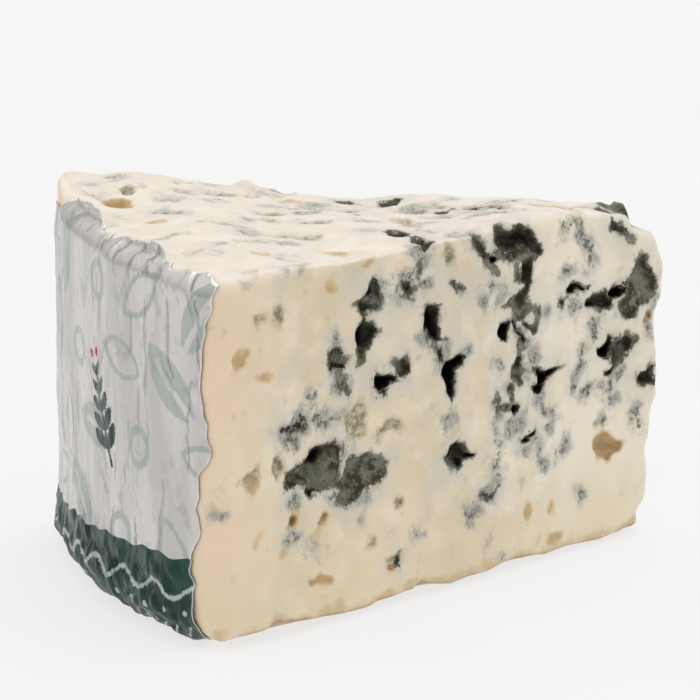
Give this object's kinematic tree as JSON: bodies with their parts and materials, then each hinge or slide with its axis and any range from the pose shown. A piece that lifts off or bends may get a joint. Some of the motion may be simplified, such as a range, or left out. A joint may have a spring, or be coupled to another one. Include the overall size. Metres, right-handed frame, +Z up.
{
  "type": "blue cheese wedge",
  "caption": "Wedge of veined blue cheese with open cut faces, small holes and a torn wrapping of printed foil round its curved rim",
  "frame": {"origin": "middle of the flat base, under the middle of the whole wedge", "axes": "+X from the curved rim to the nose, -Y out of the cut face with the large holes, +Z up"},
  "size_m": [0.097, 0.075, 0.059],
  "materials": {
    "cheese": "moist ivory paste with grey-green and near-black mould veins; matte plastic stands in for a waxy food",
    "foil": "satin crinkled foil, thinly printed in pale grey-green with a dark green band at the foot"
  },
  "bodies": {
    "root": {"cheese": "cheese", "foil": "foil"}
  },
  "joints": []
}
